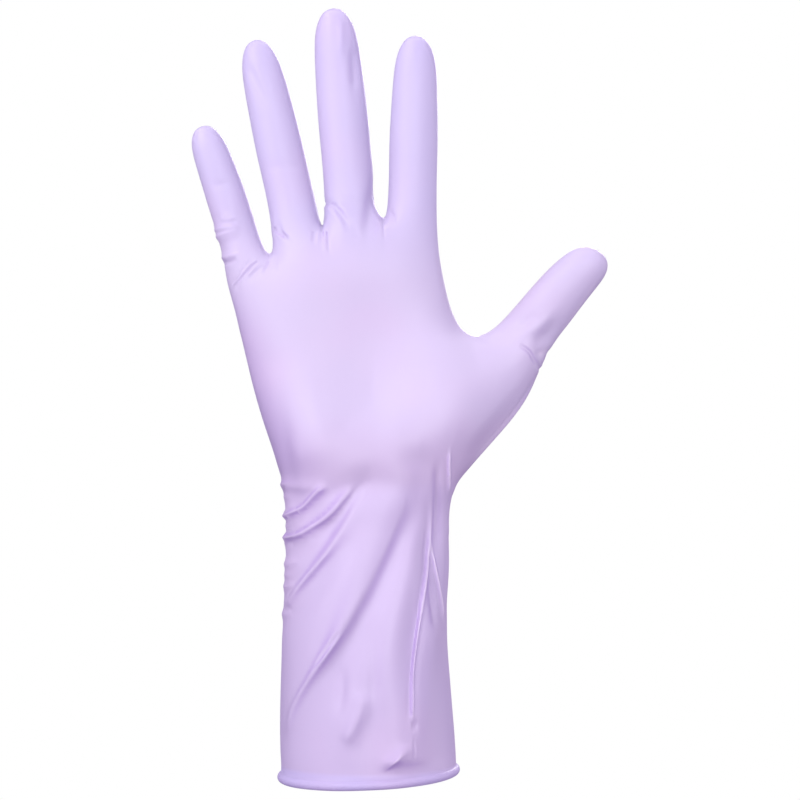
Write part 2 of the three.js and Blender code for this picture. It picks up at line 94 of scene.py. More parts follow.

# Folds of the film. kind: a profile below. path: x, z, height and breadth in mm. side: -1 on the
# back. fadeIn, fadeOut: shares of the path over which its ends die out. start: the fold is gone
# where the film faces further round than this, from 1 for its own side to -1 for the other.
# The pale mark: 1 where the film is paler along the fold, being drawn thin, and a highlight is
# painted along it too, as along each pleat and loose fold.
folds = [
    # under the heel of the hand, and the slanting folds from the wrist's outer side
    {"kind": "fin", "fadeIn": 0.02, "start": -0.5, "path": (
        (-33.9, 112.5, 1, 1.2), (-27.1, 112.1, 1.3, 1.4), (-19.4, 112.5, 1.3, 2),
        (-11.8, 114.4, 1.2, 2.8), (-4.1, 117.8, 1.6, 4), (11.9, 122.4, 1.6, 5),
        (29.5, 126.2, 1.2, 5),
    )},
    {"kind": "fin", "fadeIn": 0.05, "start": -0.5, "path": (
        (-33.2, 99.9, 1.2, 0.6), (-29.7, 101.6, 1.9, 0.6), (-24.4, 104.2, 2.1, 0.7),
        (-18.7, 110, 1.9, 0.8), (-14.5, 114.4, 0.7, 1),
    )},
    {"kind": "fin", "fadeIn": 0.05, "start": -0.5, "path": (
        (-32.9, 91.8, 1.5, 0.6), (-28.3, 92.9, 2, 0.7), (-23.4, 95.2, 2.1, 0.8),
        (-15.4, 101.6, 2.5, 0.9), (-9, 109.6, 2.4, 1.1), (-2.9, 118.7, 1.2, 2),
    )},
    {"kind": "fin", "fadeIn": 0.06, "start": -0.3, "path": (
        (-32.1, 64.1, 1, 0.7), (-25.7, 73.9, 1.8, 0.8), (-18.8, 82.5, 2.4, 1.1),
        (-11.6, 91, 3, 1.7), (-4.8, 101.3, 3.2, 2.3), (0.5, 110.8, 2.4, 2.7),
        (4.3, 119.5, 1, 3),
    )},
    # the long slanting fold across the cuff, and what runs beside it
    {"kind": "fin", "fadeIn": 0.08, "fadeOut": 0.1, "path": (
        (-32, 13.5, 0.7, 0.7), (-28.3, 26.7, 1.6, 0.8), (-22.6, 38.1, 2, 0.8),
        (-14.6, 51, 2.8, 1.3), (-7, 65, 3.6, 2.4), (-0.6, 78.3, 3.4, 3.6), (7.4, 95.3, 3.1, 4),
        (13.4, 112, 2.7, 4.2), (17.2, 126, 1.4, 4.5),
    )},
    {"kind": "valley", "path": (
        (-2.5, 60.1, 0.3, 2.6), (2.8, 68.8, 0.7, 3.2), (10, 84.3, 1, 3.5),
        (15.3, 97.6, 0.9, 3.5), (19.1, 108.9, 0.4, 3.2),
    )},
    {"kind": "crease", "path": (
        (-21.1, 42.3, 0.2, 0.6), (-15.8, 50.6, 0.5, 0.7), (-10.4, 58.9, 0.3, 0.8),
    )},
    # short folds low on the cuff
    {"kind": "valley", "fadeIn": 0.4, "path": (
        (2.8, 63.9, 0.3, 2.6), (2.4, 48.7, 0.8, 2.8), (1.3, 27.9, 0.8, 2.6),
    )},
    {"kind": "fin", "path": (
        (-9.7, 13.5, 0.9, 1.2), (-6.3, 20.3, 1.6, 1.4), (-2.9, 28.6, 1.6, 1.6),
        (-2.5, 37.3, 0.9, 1.8),
    )},
    {"kind": "valley", "fadeIn": 0.4, "fadeOut": 0.4, "path": (
        (-11.2, 48.7, 0.5, 2.2), (-10.4, 35.5, 0.9, 2.2), (-12, 22.2, 0.5, 2.2),
    )},
    # the long upright pleat, where the film turns off to the thumb's side
    {"kind": "turn", "fadeIn": 0.02, "start": 0, "path": (
        (15.3, -0.5, 0.4, 6), (15.7, 24.1, 0.7, 6), (16.1, 41.1, 0.8, 6),
        (18.3, 57.4, 0.8, 5.5), (19.9, 72.6, 0.9, 4.5), (22.1, 86.2, 0.7, 3.5),
        (23.6, 99.8, 0.4, 3),
    )},
    {"kind": "fin", "fadeOut": 0.05, "start": 0, "path": (
        (23.6, 99.8, 0.3, 2), (22.5, 86.2, 1, 2.4), (20.2, 72.6, 2.4, 2.8),
        (18.7, 57.4, 3.8, 3.2), (16.1, 41.1, 4, 3.3), (15.7, 24.1, 3.4, 3.3),
        (15.3, -0.5, 1, 3.2),
    )},
    {"kind": "pleat", "fadeIn": 0.1, "path": (
        (14.9, 22.6, 0.3, 0.7), (14.9, 29.8, 0.5, 0.7), (15.3, 41.1, 0.6, 0.7),
        (18, 57.4, 0.7, 0.7), (19.9, 72.6, 0.8, 0.7), (22.1, 84.7, 0.85, 0.7),
        (23.6, 99.8, 0.6, 0.8), (23.3, 115, 0.4, 1.2),
    )},
    # ridges and valleys beside the pleat, up to the thumb's root
    {"kind": "ridge", "start": -0.5, "paleAndHighlight": 1, "path": (
        (29.3, 56.3, 0.9, 0.6), (27.8, 65.8, 1.2, 0.6), (25.9, 76.4, 1.2, 0.6),
        (24, 86.6, 0.9, 0.6), (23.3, 94.2, 0.4, 0.6),
    )},
    {"kind": "valley", "path": (
        (24.8, 54.4, 0.6, 2), (23.3, 67.6, 1.5, 1.7), (22.9, 79, 1, 0.9),
    )},
    {"kind": "valley", "start": -0.4, "path": (
        (26.4, 84.2, 0.8, 1.6), (26, 99.5, 1.3, 1.7), (26, 112.8, 1.1, 1.6),
        (26.4, 124.3, 0.7, 1.6),
    )},
    {"kind": "ridge", "start": -0.6, "paleAndHighlight": 1, "path": (
        (30.2, 107.9, 0.6, 0.6), (30.6, 114.7, 1, 0.6), (30.6, 121.6, 1, 0.6),
        (31, 127, 0.6, 0.6),
    )},
    # the soft dent and the crumple over the rim
    {"kind": "valley", "fadeIn": 0.3, "fadeOut": 0.3, "path": (
        (13.8, 21.4, 0.3, 1.7), (16.1, 21.4, 0.8, 1.8), (18.3, 21.4, 0.3, 1.7),
    )},
    {"kind": "crease", "path": (
        (15.7, 18.4, 0.2, 0.6), (16.1, 12.7, 0.25, 0.6), (16.1, 7.4, 0.2, 0.6),
    )},
    {"kind": "fin", "fadeIn": 0.1, "fadeOut": 0.3, "path": (
        (3.6, 1.4, 1, 0.9), (5.5, 4, 1.5, 1), (8.5, 7.8, 1.7, 1.3), (12.3, 12, 1.5, 1.3),
        (14.9, 16.5, 0.7, 1.2),
    )},
    {"kind": "ridge", "paleAndHighlight": 1, "path": (
        (4.3, 2.1, 0.1, 0.5), (6.2, 4.8, 0.5, 0.5), (8.9, 7.8, 0.6, 0.6), (12.3, 12, 0.3, 0.6),
    )},
    # small wrinkles at the wrist's outer side
    {"kind": "fin", "fadeIn": 0.02, "fadeOut": 0.5, "start": -0.7, "path": (
        (-34.4, 86.5, 0.25, 0.8), (-31, 87.6, 0.25, 0.8), (-28.1, 88.7, 0.15, 0.8),
        (-25.3, 90.3, 0.1, 0.8),
    )},
    {"kind": "fin", "fadeIn": 0.02, "fadeOut": 0.5, "start": -0.7, "path": (
        (-34.4, 80.8, 0.6, 0.7), (-31, 81.9, 0.6, 0.7), (-27, 83.1, 0.36, 0.7),
        (-23, 84.6, 0.1, 0.7),
    )},
    {"kind": "fin", "fadeIn": 0.02, "fadeOut": 0.5, "start": -0.7, "path": (
        (-34.4, 76.6, 0.3, 0.7), (-31, 77.7, 0.3, 0.7), (-28.5, 78.9, 0.18, 0.7),
        (-26.1, 80.4, 0.1, 0.7),
    )},
    {"kind": "fin", "fadeIn": 0.02, "fadeOut": 0.5, "start": -0.7, "path": (
        (-34.4, 72, 0.55, 0.7), (-31, 73.2, 0.55, 0.7), (-28.1, 74.3, 0.33, 0.7),
        (-25.3, 75.8, 0.1, 0.7),
    )},
    {"kind": "fin", "fadeIn": 0.02, "start": -0.7, "path": (
        (-35.2, 61.4, 0.8, 0.8), (-32.1, 62.2, 0.6, 0.8), (-29.1, 64.1, 0.2, 0.8),
    )},
    {"kind": "fin", "fadeIn": 0.02, "fadeOut": 0.5, "start": -0.7, "path": (
        (-36.2, 112.8, 0.4, 0.6), (-32.4, 113.2, 0.4, 0.6), (-27.8, 114.7, 0.2, 0.6),
    )},
    {"kind": "fin", "fadeIn": 0.02, "fadeOut": 0.5, "start": -0.7, "path": (
        (-36.2, 107.1, 0.35, 0.6), (-32.4, 107.5, 0.35, 0.6), (-27.8, 109, 0.17, 0.6),
    )},
    {"kind": "fin", "fadeIn": 0.02, "fadeOut": 0.5, "start": -0.7, "path": (
        (-36.2, 95.7, 0.35, 0.6), (-32.4, 96, 0.35, 0.6), (-27.8, 97.6, 0.17, 0.6),
    )},
    # cross wrinkles of the little finger and its root
    {"kind": "fin", "fadeIn": 0.1, "fadeOut": 0.4, "start": -0.6, "path": (
        (-57.8, 215, 0.2, 0.6), (-54.3, 215.4, 0.5, 0.6), (-49.7, 215.8, 0.3, 0.6),
    )},
    {"kind": "fin", "fadeIn": 0.05, "fadeOut": 0.4, "start": -0.6, "path": (
        (-60.5, 211.1, 0.5, 0.6), (-55.9, 211.9, 0.9, 0.6), (-52, 212.3, 0.7, 0.6),
        (-48.5, 213.1, 0.2, 0.6),
    )},
    {"kind": "fin", "fadeIn": 0.05, "fadeOut": 0.4, "start": -0.6, "path": (
        (-60.5, 208.4, 0.6, 0.5), (-56.6, 209.2, 0.9, 0.6), (-52, 210.4, 0.6, 0.6),
        (-49.3, 211.1, 0.2, 0.6),
    )},
    {"kind": "fin", "fadeIn": 0.05, "fadeOut": 0.5, "start": -0.6, "path": (
        (-58.9, 200.4, 0.5, 0.5), (-54.7, 200.9, 0.6, 0.5), (-51.2, 201.7, 0.45, 0.5),
        (-48.5, 202.7, 0.15, 0.5),
    )},
    {"kind": "valley", "fadeIn": 0.05, "start": -0.6, "path": (
        (-56.6, 198.4, 0.4, 0.8), (-53.6, 198.8, 0.4, 0.8), (-50.5, 200, 0.2, 0.8),
    )},
    {"kind": "crease", "start": -0.5, "fadeIn": 0.1, "fadeOut": 0.2, "path": (
        (-53.9, 189.6, 0.2, 0.5), (-50.9, 193, 0.28, 0.5), (-48.5, 196.1, 0.3, 0.5),
        (-45.9, 198.8, 0.28, 0.5), (-42, 201.1, 0.15, 0.5),
    )},
    {"kind": "crease", "start": -0.5, "fadeIn": 0.1, "fadeOut": 0.1, "path": (
        (-53.2, 188, 0.25, 0.5), (-49.7, 191.9, 0.38, 0.5), (-46.6, 195.4, 0.45, 0.6),
        (-42.8, 198.8, 0.4, 0.6), (-38.2, 201.5, 0.3, 0.6),
    )},
    {"kind": "valley", "path": (
        (-47, 190.7, 0.2, 0.8), (-43.9, 194.6, 0.5, 0.9), (-40.5, 197.3, 0.3, 0.8),
    )},
    {"kind": "valley", "path": (
        (-41.2, 193.8, 0.2, 0.8), (-39.7, 196.1, 0.6, 0.9), (-37.8, 200, 0.5, 0.8),
    )},
    {"kind": "valley", "path": (
        (-36.2, 193, 0.1, 0.6), (-36.2, 198.4, 0.35, 0.6), (-35.8, 203.1, 0.3, 0.6),
    )},
    {"kind": "valley", "path": (
        (-61.3, 228.1, 0.2, 1), (-57.4, 228.5, 0.35, 1.2), (-52.8, 229.2, 0.2, 1),
    )},
    # ring finger
    {"kind": "crease", "start": -0.7, "fadeIn": 0.05, "fadeOut": 0.4, "path": (
        (-38.2, 212.3, 0.5, 0.7), (-35.5, 210.6, 0.8, 0.7), (-32.8, 208.8, 0.8, 0.8),
        (-30.1, 206.1, 0.3, 0.8),
    )},
    {"kind": "valley", "path": (
        (-41.2, 234.6, 0.2, 1.6), (-32.8, 235.8, 0.35, 1.6), (-23.5, 235, 0.2, 1.6),
    )},
    {"kind": "valley", "start": -0.3, "path": (
        (-38.2, 257.7, 0.3, 1.8), (-42.8, 266.2, 0.6, 1.8), (-47.4, 276.2, 0.5, 1.6),
    )},
    # web of the ring and middle fingers
    {"kind": "crease", "fadeOut": 0.02, "fadeIn": 0.6, "start": -0.7, "path": (
        (-18.3, 200.7, 0.1, 0.6), (-18.3, 206.9, 0.25, 0.6), (-18.3, 214.6, 0.4, 0.6),
    )},
    {"kind": "crease", "fadeOut": 0.02, "fadeIn": 0.6, "start": -0.7, "path": (
        (-15.6, 197.7, 0.1, 0.6), (-15.6, 205.4, 0.25, 0.6), (-16.2, 213.8, 0.35, 0.6),
    )},
    {"kind": "valley", "path": (
        (-21.6, 204.6, 0.2, 0.9), (-21.2, 208.4, 0.6, 0.9), (-20.8, 213.1, 0.4, 0.8),
    )},
    {"kind": "ridge", "path": (
        (-16.8, 200.7, 0.15, 0.8), (-16.8, 206.9, 0.35, 0.8), (-16.8, 212.3, 0.2, 0.7),
    )},
    # middle finger
    {"kind": "crease", "fadeIn": 0.05, "start": -0.7, "path": (
        (-19.3, 222.5, 0.4, 0.9), (-15.8, 221.1, 0.65, 0.9), (-13.5, 220, 0.75, 1),
        (-10.8, 216.9, 0.8, 1.1), (-8.5, 213.1, 0.75, 1.2), (-6.2, 205.7, 0.3, 1.3),
    )},
    {"kind": "valley", "path": (
        (-8.5, 217.7, 0.2, 0.9), (-5.8, 212.3, 0.6, 1), (-3.9, 205.4, 0.2, 1.2),
    )},
    {"kind": "valley", "fadeIn": 0.3, "fadeOut": 0.4, "start": -0.5, "path": (
        (2.7, 237.7, 0.3, 2.6), (2.3, 228.1, 1.2, 2.8), (1.1, 220.4, 2, 2.9),
        (0, 213.8, 1.6, 2.8), (-1.2, 205.4, 0.8, 2.8), (-2, 194.6, 0.1, 3),
    )},
    {"kind": "valley", "path": (
        (-12.7, 223.1, 0.2, 1.2), (-7.4, 221.1, 0.5, 1.2), (-1.2, 220.8, 0.6, 1.2),
    )},
    {"kind": "valley", "fadeIn": 0.3, "start": -0.3, "path": (
        (-5.8, 262.3, 0.4, 1.6), (-5.8, 272.4, 1, 1.6), (-6.6, 282.4, 0.6, 1.6),
    )},
    {"kind": "ridge", "path": (
        (-11.2, 276.2, 0.2, 1.2), (-10.8, 285.8, 0.5, 1.2), (-11.2, 293.1, 0.3, 1),
    )},
    # web of the middle and index fingers
    {"kind": "crease", "fadeOut": 0.02, "fadeIn": 0.5, "start": -0.7, "path": (
        (5.7, 204.6, 0.1, 0.6), (5.7, 209.6, 0.25, 0.6), (5.4, 215.4, 0.3, 0.6),
    )},
    {"kind": "valley", "path": (
        (0.7, 207.7, 0.1, 0.9), (2.3, 211.1, 0.35, 0.8), (3.8, 214.2, 0.35, 0.7),
    )},
    {"kind": "valley", "path": (
        (10.7, 213.1, 0.1, 0.8), (9.2, 216.1, 0.6, 0.8), (7.3, 219.6, 0.4, 0.7),
    )},
    # thumb
    {"kind": "crease", "fadeIn": 0.15, "fadeOut": 0.1, "start": -0.5, "path": (
        (56.9, 166.5, 0.15, 0.6), (58.9, 165.9, 0.35, 0.7), (61.6, 164, 0.5, 0.7),
        (63.5, 161.1, 0.55, 0.8), (65.4, 158.4, 0.4, 0.8), (67, 156.1, 0.2, 0.8),
    )},
    {"kind": "valley", "fadeIn": 0.1, "fadeOut": 0.05, "start": -0.6, "path": (
        (63.9, 163.8, 0.3, 1.2), (66.6, 163.4, 0.5, 1.4), (69.7, 163.8, 0.45, 1.5),
        (72.7, 164.6, 0.2, 1.4),
    )},
    {"kind": "valley", "fadeOut": 0.3, "start": -0.3, "path": (
        (62.3, 166.1, 0.3, 2), (65.8, 168, 1, 2.6), (69.3, 170.3, 1.4, 3), (72, 174.2, 0.9, 3),
        (75.8, 180.7, 0.3, 2.6),
    )},
    {"kind": "ridge", "path": (
        (58.5, 169.9, 0.2, 1.6), (63.5, 172.6, 0.5, 1.7), (67.7, 176.1, 0.4, 1.7),
        (70.8, 180, 0.1, 1.5),
    )},
    {"kind": "valley", "path": (
        (56.6, 172.3, 0.2, 1.7), (60.4, 175.7, 0.7, 1.8), (65, 178.8, 0.3, 1.6),
    )},
    # the heel slopes off to the wrist, and the palm is a little hollow
    {"kind": "fin", "fadeIn": 0.25, "start": 0.1, "path": (
        (-32.8, 124.3, 0.5, 4), (-25.5, 125.4, 2.2, 5), (-9.1, 128.1, 2.8, 6.5),
        (10, 132.3, 2.2, 7), (27.2, 136.1, 1, 7),
    )},
    {"kind": "valley", "fadeIn": 0.4, "fadeOut": 0.4, "path": (
        (-9.3, 128, 0.2, 5), (-8.9, 138.4, 0.6, 5), (-10.8, 146.8, 0.2, 5),
    )},
    # the ball of the thumb, and loose pale film along the thumb's lower side
    {"kind": "turn", "start": -0.1, "path": (
        (29.6, 121.4, 0.5, 4), (35.8, 129.1, 1.1, 4.8), (43.5, 137.6, 1.5, 5),
        (51.6, 146.8, 1.6, 5), (58.5, 154.5, 1.2, 4.4), (64.3, 161.9, 0.4, 3.4),
    )},
    {"kind": "loose", "fadeIn": 0.1, "start": -1.1, "path": (
        (72.3, 166.5, 0.6, 1), (68.5, 154.9, 0.9, 1.3), (63.5, 146.1, 1, 1.9),
        (53.1, 133.7, 1, 2.4), (44.6, 124.1, 1, 2.4), (37.7, 115.7, 0.5, 2.1),
    )},
    {"kind": "loose", "start": -1.1, "path": (
        (70, 165.3, 0.5, 0.9), (67, 163.4, 0.9, 1.2), (65.8, 161.5, 0.4, 1),
    )},
    {"kind": "loose", "start": -1.1, "path": (
        (90.8, 196.1, 0.2, 0.7), (81.2, 181.5, 0.5, 0.8), (72, 167.6, 0.4, 0.9),
    )},
    # back: the cuff and the wrist
    {"kind": "fin", "side": -1, "path": (
        (-30, 18, 0.8, 1.2), (-18, 50, 2.4, 2), (-4, 80, 3.2, 2.6), (6, 108, 1.4, 2.6),
    )},
    {"kind": "fin", "side": -1, "start": -0.5, "path": (
        (-34, 60, 0.9, 0.8), (-24, 80, 1.8, 1), (-14, 97, 2.2, 1.4), (-8, 112, 0.9, 1.8),
    )},
    {"kind": "fin", "side": -1, "start": -0.5, "path": (
        (-35, 86, 1, 0.6), (-28, 94, 1.6, 0.7), (-20, 106, 1.6, 0.9), (-14, 116, 0.6, 1.2),
    )},
    {"kind": "valley", "side": -1, "path": (
        (18, 12, 0.6, 3), (16, 45, 1.4, 3), (10, 78, 0.8, 3),
    )},
    {"kind": "fin", "side": -1, "path": (
        (29, 22, 0.8, 1), (24, 50, 1.8, 1.6), (20, 80, 2, 1.8), (17, 106, 0.8, 2),
    )},
    {"kind": "crease", "side": -1, "start": -0.4, "path": (
        (-27, 118, 0.5, 1.2), (-6, 121, 0.9, 1.4), (16, 119, 0.5, 1.4),
    )},
    {"kind": "fin", "side": -1, "start": -0.5, "path": (
        (31, 92, 0.9, 0.7), (23, 102, 1.4, 0.8), (12, 110, 0.8, 1),
    )},
    {"kind": "fin", "side": -1, "start": -0.5, "path": (
        (33, 108, 0.8, 0.7), (27, 116, 1.2, 0.9), (18, 122, 0.6, 1.2),
    )},
    {"kind": "ridge", "side": -1, "path": (
        (2, 8, 0.4, 0.9), (0, 35, 0.8, 0.9), (-2, 58, 0.3, 1),
    )},
    # back: knuckle creases and webs
    {"kind": "crease", "side": -1, "start": -0.3, "path": (
        (-59, 222, 0.3, 0.8), (-53, 223.5, 0.5, 0.9), (-47, 225, 0.3, 0.8),
    )},
    {"kind": "crease", "side": -1, "start": -0.3, "path": (
        (-40, 235, 0.3, 0.9), (-33, 236.5, 0.5, 1), (-26, 238, 0.3, 0.9),
    )},
    {"kind": "crease", "side": -1, "start": -0.3, "path": (
        (-18, 241, 0.3, 0.9), (-10, 242, 0.5, 1), (-2, 242, 0.3, 0.9),
    )},
    {"kind": "crease", "side": -1, "start": -0.3, "path": (
        (9, 236, 0.3, 0.9), (16, 236.5, 0.5, 1), (24, 236, 0.3, 0.9),
    )},
    {"kind": "crease", "side": -1, "start": -0.3, "path": (
        (-39, 231, 0.2, 0.8), (-32, 232.5, 0.35, 0.9), (-25, 234, 0.2, 0.8),
    )},
    {"kind": "crease", "side": -1, "start": -0.3, "path": (
        (-17, 237, 0.2, 0.8), (-10, 238, 0.35, 0.9), (-3, 238, 0.2, 0.8),
    )},
    {"kind": "valley", "side": -1, "path": (
        (-19, 214, 0.7, 1), (-18, 207, 0.8, 1.2), (-16, 194, 0.2, 1.6),
    )},
    {"kind": "valley", "side": -1, "path": (
        (5, 216, 0.7, 1), (5, 208, 0.8, 1.2), (5, 196, 0.2, 1.6),
    )},
    # back: little finger's side and the thumb
    {"kind": "fin", "side": -1, "path": (
        (-50, 188, 0.5, 0.6), (-44, 196, 1, 0.7), (-38, 201, 0.5, 0.7),
    )},
    {"kind": "crease", "side": -1, "start": -0.4, "path": (
        (56, 170, 0.3, 0.8), (61, 164, 0.8, 0.8), (66, 157, 0.4, 0.9),
    )},
    {"kind": "crease", "side": -1, "start": -0.4, "path": (
        (63, 178, 0.2, 0.9), (67, 172, 0.5, 0.9), (72, 167, 0.3, 0.9),
    )},
    {"kind": "valley", "side": -1, "path": (
        (40, 150, 0.3, 4), (26, 132, 1, 4), (20, 116, 0.4, 3),
    )},
]
folds = [{**usual, **fold} for fold in folds]


# Numbers

def smoothStep(low, high, value):
    share = np.clip((value - low) / (high - low), 0.0, 1.0)
    return share * share * (3 - 2 * share)


def bell(distance, left, right):
    return np.exp(-((distance / np.where(distance < 0, left, right)) ** 2))


def curveThrough(stops, count):
    stops = np.array(stops, float)
    padded = np.vstack([2 * stops[0] - stops[1], stops, 2 * stops[-1] - stops[-2]])
    spans = len(stops) - 1
    places = np.linspace(0, spans, count)
    index = np.minimum(places.astype(int), spans - 1)
    t = (places - index)[:, None]
    a, b, c, d = (padded[index + k] for k in range(4))
    return 0.5 * (
        2 * b
        + (c - a) * t
        + (2 * a - 5 * b + 4 * c - d) * t**2
        + (3 * b - a - 3 * c + d) * t**3
    )


# Profiles across a fold, by distance in breadths. Positive is to the right of the path, looking
# along it: there a fin has its longer foot and a turn stays low. A loose fold has no height.
profiles = {
    "fin": lambda u: np.where(u < 0, bell(u, 2.2, 1.0), (1 + np.abs(u)) * np.exp(-np.abs(u))),
    "valley": lambda u: -bell(u, 1.0, 1.0),
    "crease": lambda u: (
        0.35 * (bell(u + 1.7, 1.0, 0.8) + bell(u - 1.7, 0.8, 1.0)) - bell(u, 1.0, 1.0)
    ),
    "ridge": lambda u: bell(u, 1.0, 1.0),
    "loose": lambda u: np.zeros(len(u)),
    "turn": lambda u: np.where(u > 0, np.exp(-(u**2)) - 1, 0.0),
    "pleat": lambda u: (
        bell(u, 0.8, 0.8) - 0.7 * bell(u + 2.2, 1.4, 1.0) - 0.3 * bell(u - 2.4, 1.0, 1.6)
    ),
}


def nearFold(x, z, fold):
    # the points that a fold can reach, with their distance in breadths and its height and breadth
    curve = curveThrough(fold["path"], laying["steps"])
    reach = laying["reach"] * curve[:, 3].max()
    near = np.flatnonzero(
        (x > curve[:, 0].min() - reach) & (x < curve[:, 0].max() + reach)
        & (z > curve[:, 1].min() - reach) & (z < curve[:, 1].max() + reach)
    )
    place = np.stack([x[near], z[near]], 1)
    start = curve[:-1, :2]
    along = curve[1:, :2] - start
    best = np.full(len(near), np.inf)
    share = np.zeros(len(near))
    side = np.zeros(len(near))
    for j, step in enumerate(along):
        gap = place - start[j]
        t = np.clip(gap @ step / (step @ step + 1e-12), 0, 1)
        off = gap - t[:, None] * step
        distance = np.hypot(off[:, 0], off[:, 1])
        closer = distance < best
        best[closer] = distance[closer]
        share[closer] = (j + t[closer]) / len(along)
        side[closer] = np.sign((step[1] * off[:, 0] - step[0] * off[:, 1])[closer])
    knots = np.linspace(0, 1, laying["steps"])
    height = np.interp(share, knots, curve[:, 2])
    breadth = np.maximum(np.interp(share, knots, curve[:, 3]), laying["thinnest"])
    ends = smoothStep(0, fold["fadeIn"], share) * smoothStep(0, fold["fadeOut"], 1 - share)
    return near, side * best / breadth, height * ends, breadth


def facing(normals, fold):
    turned = -normals[:, 1] * fold["side"]
    return smoothStep(fold["start"], fold["start"] + laying["turnSpan"], turned)


# Mesh helpers

def newObject(name, bm):
    mesh = bpy.data.meshes.new(name)
    bm.to_mesh(mesh)
    bm.free()
    made = bpy.data.objects.new(name, mesh)
    scene.collection.objects.link(made)
    return made


def subdivided(made, levels):
    modifier = made.modifiers.new("smooth", "SUBSURF")
    modifier.levels = modifier.render_levels = levels
    evaluated = made.evaluated_get(bpy.context.evaluated_depsgraph_get())
    bm = bmesh.new()
    bm.from_mesh(bpy.data.meshes.new_from_object(evaluated))
    bpy.data.objects.remove(made)
    return bm


def pointsOf(bm):
    bm.normal_update()
    places = np.array([v.co for v in bm.verts])
    normals = np.array([v.normal for v in bm.verts])
    return places, normals


def movePoints(bm, places):
    for vert, place in zip(bm.verts, places):
        vert.co = place


def writeValues(bm, name, values):
    layer = bm.verts.layers.float.new(name)
    for vert, value in zip(bm.verts, values):
        vert[layer] = float(value)


# The film

def outerFilm(levels):
    bm = bmesh.new()
    bm.from_mesh(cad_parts[glove["node"]].data)
    bmesh.ops.remove_doubles(bm, verts=bm.verts, dist=1e-6)
    bmesh.ops.join_triangles(
        bm, faces=bm.faces, angle_face_threshold=math.pi, angle_shape_threshold=math.pi
    )
    bmesh.ops.bisect_plane(
        bm,
        geom=[*bm.verts, *bm.edges, *bm.faces],
        plane_co=(0, 0, glove["rimHeight"]),
        plane_no=(0, 0, 1),
        clear_inner=True,
    )
    # the outer face of the film holds the highest point, and the inner one is dropped
    kept = {max(bm.verts, key=lambda v: v.co.z)}
    edge = list(kept)
    while edge:
        edge = [e.other_vert(v) for v in edge for e in v.link_edges]
        edge = list({v for v in edge if v not in kept})
        kept.update(edge)
    bmesh.ops.delete(bm, geom=[v for v in bm.verts if v not in kept], context="VERTS")
    return subdivided(newObject("shape", bm), levels)


def splitForFolds(bm):
    for _ in range(laying["splitTurns"]):
        places, normals = pointsOf(bm)
        x, z = places[:, 0] / mm, places[:, 2] / mm
        wanted = np.full(len(x), laying["plainEdge"])
        for fold in folds:
            near, across, height, breadth = nearFold(x, z, fold)
            shown = (
                (np.abs(across) < laying["splitWithin"])
                & (height > laying["splitHeight"])
                & (facing(normals, fold)[near] > laying["splitShown"])
            )
            near, breadth = near[shown], breadth[shown]
            wanted[near] = np.minimum(wanted[near], laying["edgeForBreadth"] * breadth)
        bm.verts.ensure_lookup_table()
        long = [
            e for e in bm.edges
            if e.calc_length() / mm > max(wanted[e.verts[0].index], wanted[e.verts[1].index])
        ]
        bmesh.ops.subdivide_edges(bm, edges=long, cuts=1, use_grid_fill=True)
        bm.verts.index_update()


def nudgeFilm(bm):
    places = pointsOf(bm)[0]
    for x, z, radius, moveX, moveZ in nudges:
        offX, offZ = places[:, 0] / mm - x, places[:, 2] / mm - z
        near = np.exp(-((offX**2 + offZ**2) / radius**2))
        places[:, 0] += near * moveX * mm
        places[:, 2] += near * moveZ * mm
    movePoints(bm, places)


def shapeFilm(bm):
    nudgeFilm(bm)
    places, normals = pointsOf(bm)
    x, z = places[:, 0] / mm, places[:, 2] / mm
    loose = glove["waveOnHand"] + (1 - glove["waveOnHand"]) * smoothStep(*glove["waveFrom"], z)
    waves = np.array([noise.noise(Vector(place * glove["waveScale"])) for place in places])
    rise = glove["plump"] / mm + loose * glove["waveHeight"] / mm * waves
    paleAndHighlightMask = np.zeros(len(x))
    for fold in folds:
        near, across, height, _ = nearFold(x, z, fold)
        shown = facing(normals, fold)[near] * height
        rise[near] += shown * profiles[fold["kind"]](across)
        # the film is paler along pleats, loose folds and marked ridges, where it is drawn thin,
        # and a highlight is painted there too
        if fold["kind"] in ("pleat", "loose") or fold["paleAndHighlight"]:
            paleAndHighlightHere = shown * bell(across, glove["paleAndHighlightBreadth"], glove["paleAndHighlightBreadth"])
            paleAndHighlightMask[near] = np.maximum(paleAndHighlightMask[near], paleAndHighlightHere)
    rise *= smoothStep(*glove["shapedFrom"], z)
    paleAndHighlightMask *= smoothStep(*glove["paleAndHighlightFrom"], z)
    movePoints(bm, places + normals * rise[:, None] * mm)
    # painted shade: the more the film turns at a fold, the darker and bluer its colour is made
    bent = 1 - (normals * pointsOf(bm)[1]).sum(axis=1)
    writeValues(bm, "foldShadeMask", smoothStep(*glove["foldShadeFrom"], bent))
    writeValues(bm, "paleAndHighlightMask", np.clip(paleAndHighlightMask, 0, 1))


